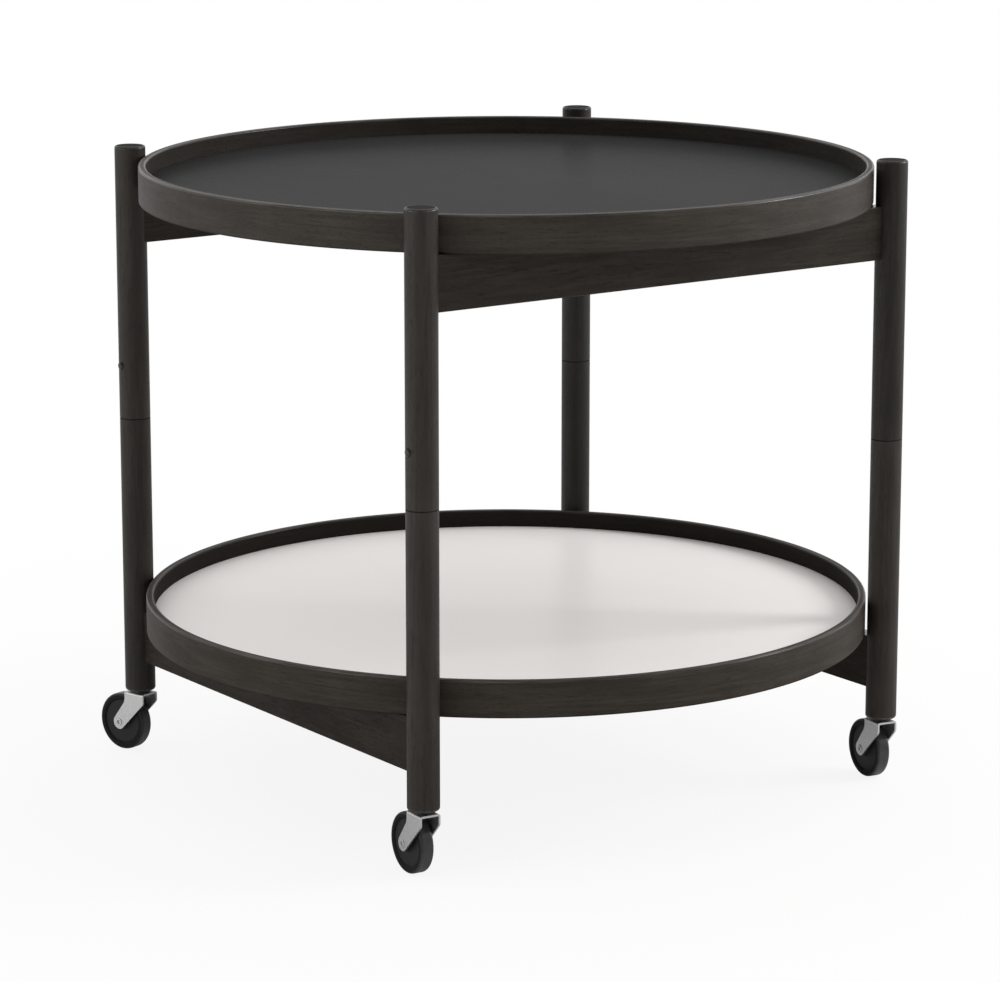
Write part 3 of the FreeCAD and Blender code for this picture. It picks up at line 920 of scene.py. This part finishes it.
@dataclass(frozen=True)
class RailPair:
    """Two rails that join the same halves of the legs, polished on top where a tray slides on and off."""

    level: Level
    corners: tuple[Leg, Leg]
    grain: Grain
    tone: float
    shine: float
    polish: float = 0.9
    tone_range: Range = (0.70, 2.40)
    blotch: Mark = Mark(24 * MM, 85 * MM, weight=1.3)
    fleck_weight: float = 0.9

    def build(self) -> None:
        """Dress both rails in one finish."""
        nodes = [f"rail_{self.level.value}_{corner.value}" for corner in self.corners]
        wood = StainedWood(
            f"{self.level.value}_rails_wood", self.grain, self.tone, self.shine, blotch=self.blotch,
            fleck=replace(StainedWood.fleck, weight=self.fleck_weight), tone_range=self.tone_range,
            polish=self.polish, slid_on=Extent.of(nodes[0]).high[Z],
        )
        dress(nodes, wood.material())


@dataclass(frozen=True)
class Tray:
    """One loose tray: a bent wooden rim with a groove, and a panel of board between two laminates."""

    level: Level
    tone: float
    shine: float
    roughness: float
    polish: float
    # Share of painted shade on the rim's inner wall.
    wall_shade: float
    wall: float = 6.4 * MM
    rounding: float = 1.6 * MM
    groove_play: float = 0.1 * MM
    steps: int = 480

    def build(self, top: Material, under: Material, board: Material) -> None:
        """Make the rim from its own length of wood, and dress the panel.

        Args:
            top: finish of the sheet that shows.
            under: finish of the sheet underneath.
            board: finish of the core.
        """
        name = f"{self.level.value}_tray"
        node = f"{name}_rim"
        wood = StainedWood(f"{self.level.value}_rim_wood", Grain.ROUND_THE_RIM, self.tone, self.shine,
                           self.roughness, polish=self.polish).material()
        front_x, front_y, _ = Extent.of(f"leg_upper_{Leg.FRONT.value}").middle
        axis = Axis.upright(0.0, 0.0, (front_x, front_y))
        outline = Outline.through(self._bends(), closed=True)
        # The rim's inner wall and its bottom get painted shade: a darker colour where shade falls.
        surface = TurnedSurface(outline, axis, self.steps, self._soaked(outline))
        stand_for(node, surface.mesh(f"{node}_bent"), wood)
        dress([f"{name}_laminate_top"], top)
        dress([f"{name}_laminate_bottom"], under)
        dress([f"{name}_core"], board)

    def _soaked(self, outline: Outline) -> Array:
        """Painted shade at each point of the rim's section, darker on the inner wall and along the bottom.

        It goes from wall_shade on the inner wall to 0 a rounding's width further out, and from 1 along the
        bottom to 0 a rounding's height further up. The larger of the two holds.

        Args:
            outline: the rim's section.

        Returns:
            A share of painted shade from 0 to 1 for each point.
        """
        rim = Extent.of(f"{self.level.value}_tray_rim")
        out, along = outline.points.T
        inner = (rim.high[X] - self.wall + self.rounding - out) / self.rounding
        under = (rim.low[Z] + self.rounding - along) / self.rounding
        return np.maximum(self.wall_shade * np.clip(inner, 0.0, 1.0), np.clip(under, 0.0, 1.0))

    def _bends(self) -> list[Bend]:
        """Outline of the rim's section.

        Returns:
            Corners once round, with the groove that takes the core.
        """
        rim = Extent.of(f"{self.level.value}_tray_rim")
        core = Extent.of(f"{self.level.value}_tray_core")
        outside = rim.high[X]
        inside = outside - self.wall
        depth = core.high[X] + self.groove_play
        bottom, top = rim.low[Z], rim.high[Z]
        return [
            Bend(outside, bottom, self.rounding, 0.0),
            Bend(outside, top, self.rounding),
            Bend(inside, top, self.rounding),
            Bend(inside, core.high[Z]),
            Bend(depth, core.high[Z]),
            Bend(depth, core.low[Z]),
            Bend(inside, core.low[Z]),
            Bend(inside, bottom, self.rounding, 0.0),
        ]


@dataclass(frozen=True)
class Caster:
    """One caster: turned hub, tread, hollow rivet and washer, and the fork, stem and sleeve."""

    leg: Leg
    tread_radius: float = 2.2 * MM
    lip_width: float = 1.6 * MM
    lip_radius: float = 0.6 * MM
    fit: float = 0.05 * MM
    hub_recess: float = 1.3 * MM
    hub_edge: float = 0.25 * MM
    boss: float = 7.0 * MM
    boss_edge: float = 0.6 * MM
    bore: float = 2.55 * MM
    rivet_edge: float = 0.5 * MM
    hollow_radius: float = 1.8 * MM
    hollow_floor: float = 1.5 * MM
    hollow_depth: float = 1.1 * MM
    hollow_edge: float = 0.2 * MM
    shank: float = 2.5 * MM
    arm_face: float = 9.0 * MM
    washer_bore: float = 4.05 * MM
    washer_edge: float = 0.4 * MM
    washer_room: float = 0.02 * MM
    steps: int = 112

    def build(self, hub: Material, tread: Material, plating: Material, nylon: Material,
              sleeve_steel: Material) -> None:
        """Make hub, tread and rivet, each turned about the wheel's axle, then the washer, and dress the rest.

        Args:
            hub: finish of the hub.
            tread: finish of the tread.
            plating: finish of rivet, fork and stem.
            nylon: finish of the washer.
            sleeve_steel: finish of the sleeve in the leg.
        """
        pieces = (
            (f"wheel_tyre_{self.leg.value}", self._tread(), "moulded", tread),
            (f"wheel_hub_{self.leg.value}", Outline.through(self._hub_bends(), True), "moulded", hub),
            (f"axle_rivet_{self.leg.value}", Outline.through(self._rivet_bends()), "closed", plating),
        )
        for node, outline, made, material in pieces:
            surface = TurnedSurface(outline, self.axle, self.steps)
            stand_for(node, surface.mesh(f"{node}_{made}"), material)
        self._washer(nylon)
        dress([f"caster_fork_{self.leg.value}", f"caster_stem_{self.leg.value}"], plating)
        dress([f"caster_socket_{self.leg.value}"], sleeve_steel)

    @property
    def axle(self) -> Axis:
        """Axis that the wheel turns about."""
        spin = JOINTS[f"{self.leg.value}_wheel_spin"]
        return Axis.level(np.array(spin["pos_m"]), np.array(spin["axis"]))

    def _washer(self, nylon: Material) -> None:
        """Make the washer, turned about the swivel's axis, with room between it and the leg.

        Args:
            nylon: its finish.
        """
        node = f"swivel_washer_{self.leg.value}"
        washer = Extent.of(node)
        x, y, radius = *washer.middle[:2], washer.span[X] / 2
        bottom, top = washer.low[Z], washer.high[Z] - self.washer_room
        outline = Outline.through([
            Bend(radius, bottom, self.washer_edge),
            Bend(radius, top, self.washer_edge),
            Bend(self.washer_bore, top),
            Bend(self.washer_bore, bottom),
        ], True)
        surface = TurnedSurface(outline, Axis.upright(x, y), self.steps)
        stand_for(node, surface.mesh(f"{node}_turned"), nylon)

    def _reach(self, node: str) -> float:
        """Reach of a node along the axle, from the frame's own points.

        Args:
            node: the node's name, without the leg's.

        Returns:
            Half the node's length.
        """
        mesh = frame["nodes"][f"{node}_{self.leg.value}"].data
        points = np.empty(3 * len(mesh.vertices))
        mesh.vertices.foreach_get("co", points)
        return float(np.ptp(points.reshape(-1, 3) @ self.axle.along) / 2)

    @staticmethod
    def _mirrored(side: Sequence[Bend]) -> list[Bend]:
        """Outline of both sides of a wheel from the bends of one, which run from the rim inwards."""
        other = [Bend(bend.out, -bend.along, bend.radius) for bend in reversed(side)]
        return [*side, *other]

    def _tread(self) -> Outline:
        """Outline of the tread: rounded shoulders, flat sides and a lip that slopes down to the hub's face.

        Returns:
            The outline, whose wear grows outwards from 0 where the shoulders start to 1 on the running face.
        """
        half = self._reach("wheel_tyre")
        outside = Extent.of(f"wheel_tyre_{self.leg.value}").span[Z] / 2
        inside = Extent.of(f"wheel_hub_{self.leg.value}").span[Z] / 2 + self.fit
        outline = Outline.through(self._mirrored([
            Bend(outside, half, self.tread_radius),
            Bend(inside + self.lip_width, half, self.lip_radius),
            Bend(inside, half - self.hub_recess),
        ]), True)
        worn = 1.0 - (outside - outline.points[:, 0]) / self.tread_radius
        return replace(outline, worn=np.clip(worn, 0.0, 1.0))

    def _hub_bends(self) -> list[Bend]:
        """Outline of the hub: a flat web inside the tread, and a boss that reaches the fork's arms.

        Returns:
            Corners of one side from the rim inwards, then of the other.
        """
        face = self._reach("wheel_tyre") - self.hub_recess
        end = self._reach("wheel_hub")
        outside = Extent.of(f"wheel_hub_{self.leg.value}").span[Z] / 2
        return self._mirrored([
            Bend(outside, face, self.hub_edge),
            Bend(self.boss, face, self.boss_edge),
            Bend(self.boss, end, self.boss_edge),
            Bend(self.bore, end),
        ])

    def _rivet_bends(self) -> list[Bend]:
        """Outline of the rivet: a hollow, a rounded head, the shank and the other head.

        Returns:
            Corners from pole to pole.
        """
        end = self._reach("axle_rivet")
        head = Extent.of(f"axle_rivet_{self.leg.value}").span[Z] / 2
        side = [
            Bend(0.0, end - self.hollow_depth),
            Bend(self.hollow_floor, end - self.hollow_depth, self.hollow_edge),
            Bend(self.hollow_radius, end, self.hollow_edge),
            Bend(head, end, self.rivet_edge),
            Bend(head, self.arm_face),
            Bend(self.shank, self.arm_face),
        ]
        return self._mirrored(side)


# Stage, lamps and camera


def around(azimuth: float, elevation: float, distance: float) -> Vector:
    """Offset from the table to a place, by azimuth and elevation in degrees; azimuth 0 is towards -Y."""
    turn, rise = radians(azimuth), radians(elevation)
    return distance * Vector((sin(turn) * cos(rise), -cos(turn) * cos(rise), sin(rise)))


def aim(thing: bpy.types.Object, target: Vector, offset: Vector) -> None:
    """Hang a lamp or the camera at an offset from a target and point it there."""
    thing.location = target + offset
    thing.rotation_euler = offset.to_track_quat("Z", "Y").to_euler()


@dataclass(frozen=True)
class Lamp:
    """Soft rectangular lamp that points at the table."""

    name: str
    azimuth: float
    elevation: float
    width: float
    height: float
    power: float
    distance: float = 2.6

    def build(self, target: Vector) -> None:
        """Hang the lamp.

        Args:
            target: the point that it lights.
        """
        data = bpy.data.lights.new(self.name, "AREA")
        data.shape = "RECTANGLE"
        data.size = self.width
        data.size_y = self.height
        data.energy = self.power
        lamp = put(self.name, data)
        lamp.visible_camera = False
        aim(lamp, target, around(self.azimuth, self.elevation, self.distance))
        log.info("lamp %s", self.name)


@dataclass(frozen=True)
class Studio:
    """White floor and surroundings, three soft lamps and the camera."""

    view_azimuth: float = -35.117
    view_elevation: float = 12.412
    view_distance: float = 3.3193
    view_target: tuple[float, float, float] = (-0.01295, -0.00981, 0.24063)
    focal_pixels: float = 4005.8
    photo_width: float = 1000.0
    sensor: float = 36.0
    floor_radius: float = 24.0
    floor_rings: int = 25
    floor_steps: int = 96
    floor_colour: Colour = (0.80, 0.795, 0.785)
    floor_white: float = 0.88
    shadow_reach: Range = (0.5, 1.1)
    ambient: float = 1.2
    front_light: float = 0.52
    front_gloss: float = 0.10
    front_to_back: Range = (-0.75, 0.55)
    lamps: Sequence[Lamp] = field(default_factory=lambda: (
        Lamp("left_lamp", azimuth=-97.0, elevation=4.0, width=2.8, height=0.8, power=14.0),
        Lamp("right_lamp", azimuth=59.0, elevation=24.0, width=0.95, height=0.9, power=35.0),
        Lamp("top_lamp", azimuth=-35.0, elevation=82.0, width=1.8, height=1.8, power=3.0),
    ))

    def build(self) -> None:
        """Make the floor, the surroundings, the lamps and the camera."""
        self._floor()
        self._surroundings()
        for lamp in self.lamps:
            lamp.build(Vector(self.view_target))
        self._camera()
        bpy.context.scene.view_settings.view_transform = "Standard"

    @staticmethod
    def _rays(graph: Graph) -> tuple[Wire, Wire]:
        """Tell rays apart.

        Args:
            graph: the graph that asks.

        Returns:
            1 for rays from the camera, and 1 for those that gloss or glass sends on.
        """
        camera, glossy, through = (graph.node("ShaderNodeLightPath", None, None, f"Is {kind} Ray")
                                   for kind in ("Camera", "Glossy", "Transmission"))
        return camera, graph.node("ShaderNodeMath", {"operation": "MAXIMUM"}, {0: glossy, 1: through})

    def _floor(self) -> None:
        """Make the round floor, a disc of rings whose radii grow with the square of their number."""
        rings = self.floor_radius * np.linspace(1.0, 0.0, self.floor_rings) ** 2
        level = np.zeros(self.floor_rings)
        outline = Outline(np.stack([rings, level], axis=-1), level, closed=False)
        mesh = TurnedSurface(outline, Axis.upright(0.0, 0.0), self.floor_steps).mesh("floor")
        material, graph = new_material("pale_floor")
        paint = graph.node("ShaderNodeBsdfDiffuse", None, {"Color": (*self.floor_colour, 1.0)})
        white = graph.node("ShaderNodeEmission", None, {"Color": WHITE, "Strength": 1.0})
        away = graph.node("ShaderNodeVectorMath", {"operation": "LENGTH"}, {0: graph.place()}, "Value")
        camera, sent_on = self._rays(graph)
        bare = graph.ramp(away, *self.shadow_reach)
        share = camera * (self.floor_white + (1.0 - self.floor_white) * bare) + sent_on * bare
        shown = graph.node("ShaderNodeMixShader", None, {0: share, 1: paint, 2: white})
        graph.node("ShaderNodeOutputMaterial", None, {"Surface": shown})
        mesh.materials.append(material)
        floor = put("floor", mesh)
        log.info("floor, %d faces", len(mesh.polygons))

    def _surroundings(self) -> None:
        """Make a world that lights softly, less from in front, and that looks white behind the table."""
        world = bpy.data.worlds.new("surroundings")
        world.use_nodes = True
        bpy.context.scene.world = world
        graph = Graph(world.node_tree)
        camera, sent_on = self._rays(graph)
        direction = graph.place("Generated")
        ahead = -around(self.view_azimuth, 0.0, 1.0)
        sides = {0: direction, 1: ahead}
        facing = graph.node("ShaderNodeVectorMath", {"operation": "DOT_PRODUCT"}, sides, "Value")
        behind = graph.ramp(facing, *self.front_to_back)
        light = self.ambient * (self.front_light + (1.0 - self.front_light) * behind)
        gloss = self.front_gloss + (1.0 - self.front_gloss) * behind
        strength = camera + (1.0 - camera) * (sent_on * gloss + (1.0 - sent_on) * light)
        shader = graph.node("ShaderNodeBackground", None, {"Color": WHITE, "Strength": strength})
        graph.node("ShaderNodeOutputWorld", None, {"Surface": shader})

    def _camera(self) -> None:
        """Hang the camera, which sees the table as the photo does."""
        data = bpy.data.cameras.new("camera")
        data.sensor_width = self.sensor
        data.lens = self.focal_pixels * self.sensor / self.photo_width
        camera = put("camera", data)
        offset = around(self.view_azimuth, self.view_elevation, self.view_distance)
        aim(camera, Vector(self.view_target), offset)
        bpy.context.scene.camera = camera


def main() -> None:
    """Build the table's pieces and finishes, then the stage round them."""
    logging.basicConfig(level=logging.INFO, format="%(name)s: %(message)s")
    # Tones of each leg's upper and lower half: partly each length of wood's own tone, partly painted shade that
    # darkens the back leg and the left leg's lower half.
    leg_tones_and_shade = {
        Leg.FRONT: (0.98, 0.98),
        Leg.RIGHT: (0.70, 0.98),
        Leg.BACK: (0.62, 0.60),
        Leg.LEFT: (0.94, 0.80),
    }
    zinc, pin_steel, pivot_steel, sleeve_steel = (finish.material() for finish in (
        PlatedSteel("zinc_plate_satin", (0.60, 0.60, 0.60), dull=(0.51, 0.51, 0.515), roughness=0.34),
        PlatedSteel("pin_head_black", (0.014, 0.0135, 0.013), dull=(0.024, 0.023, 0.022), roughness=0.26,
                    metal=0.3),
        PlatedSteel("pivot_steel_turned", (0.55, 0.55, 0.56), dull=(0.42, 0.42, 0.43), roughness=0.22),
        PlatedSteel("sleeve_steel_drawn", (0.50, 0.50, 0.50), dull=(0.38, 0.38, 0.38), roughness=0.30),
    ))
    nylon, hub, tread = (finish.material() for finish in (
        Moulding("nylon_black", (0.016, 0.016, 0.016), scuffed=(0.03, 0.03, 0.03), roughness=0.42),
        Moulding("wheel_hub_plastic", (0.0135, 0.0135, 0.014), scuffed=(0.021, 0.021, 0.0215), roughness=0.46,
                 shine=0.22),
        Moulding("wheel_tread_rubber", (0.008, 0.008, 0.0083), scuffed=(0.026, 0.026, 0.026), roughness=0.52,
                 shine=0.12, polish=0.9),
    ))
    black, white, under = (finish.material() for finish in (
        Laminate("laminate_black", (0.027, 0.0268, 0.0268), shift=(0.034, 0.0337, 0.0335), roughness=0.21,
                 shine=0.0016),
        Laminate("laminate_white", (0.90, 0.866, 0.844), shift=(0.87, 0.837, 0.815), roughness=0.31,
                 shine=0.12),
        Laminate("laminate_under", (0.05, 0.05, 0.05), shift=(0.065, 0.064, 0.063), roughness=0.43),
    ))
    board = Fibreboard("panel_board_pressed", (0.35, 0.25, 0.16), fibre=(0.22, 0.15, 0.09)).material()

    for leg in Leg:
        TurnedLeg(leg, *leg_tones_and_shade[leg]).build(pin_steel, pivot_steel)
        Caster(leg).build(hub, tread, zinc, nylon, sleeve_steel)
    RailPair(Level.UPPER, (Leg.FRONT, Leg.BACK), Grain.ALONG_UPPER_RAIL, tone=1.13, shine=0.10).build()
    RailPair(Level.LOWER, (Leg.LEFT, Leg.RIGHT), Grain.ALONG_LOWER_RAIL, tone=1.0, shine=0.07).build()
    Tray(Level.UPPER, tone=1.40, shine=0.17, roughness=0.44, polish=0.30, wall_shade=0.55).build(
        black, under, board)
    Tray(Level.LOWER, tone=1.42, shine=0.12, roughness=0.50, polish=0.25, wall_shade=0.95).build(
        white, under, board)
    Studio().build()


if __name__ == "__main__":
    main()
